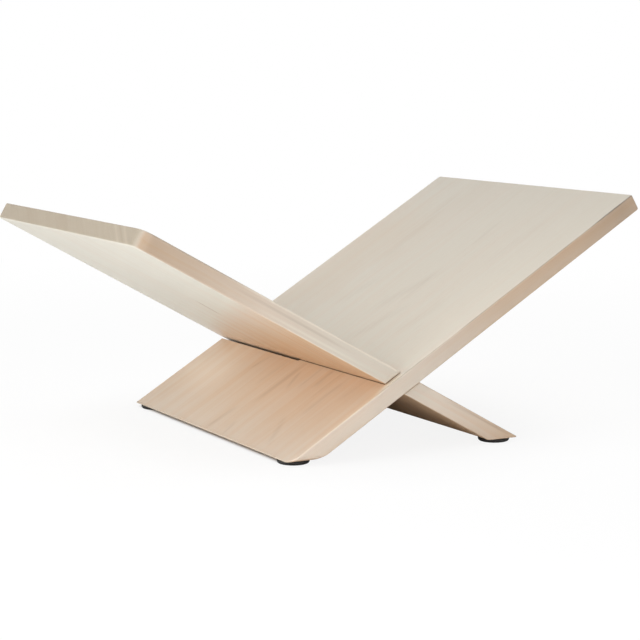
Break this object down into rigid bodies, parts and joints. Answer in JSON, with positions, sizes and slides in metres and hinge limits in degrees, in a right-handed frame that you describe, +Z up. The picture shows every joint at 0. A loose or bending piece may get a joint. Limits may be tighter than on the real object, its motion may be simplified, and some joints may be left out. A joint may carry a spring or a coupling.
{
  "type": "slot-together bookstand",
  "caption": "X-shaped wooden bookstand: crossed flat boards slotted into one another on round rubber feet. An open book rests in the V, and the boards slide apart to pack flat.",
  "frame": {"origin": "on the floor, under the middle of the whole stand's box", "axes": "+X across the X shape, towards the side that the right board rises to; +Y along the line where the boards cross, from the near edge to the far edge; +Z up"},
  "size_m": [0.3764, 0.254, 0.1656],
  "materials": {
    "board_wood": "pale, straight-grained solid wood, sanded, thin satin finish",
    "foot_rubber": "matte black moulded rubber",
    "foot_adhesive": "thin off-white double-sided adhesive film"
  },
  "bodies": {
    "right_side": {"right_board": "board_wood", "front_left_foot": "foot_rubber", "back_left_foot": "foot_rubber", "front_left_adhesive": "foot_adhesive", "back_left_adhesive": "foot_adhesive"},
    "left_side": {"left_board": "board_wood", "front_right_foot": "foot_rubber", "back_right_foot": "foot_rubber", "front_right_adhesive": "foot_adhesive", "back_right_adhesive": "foot_adhesive"}
  },
  "joints": [
    {"name": "board_slide", "type": "slide", "parent": "right_side", "child": "left_side", "axis": [0, 1, 0], "range_m": [-0.0057, 0.26]}
  ]
}
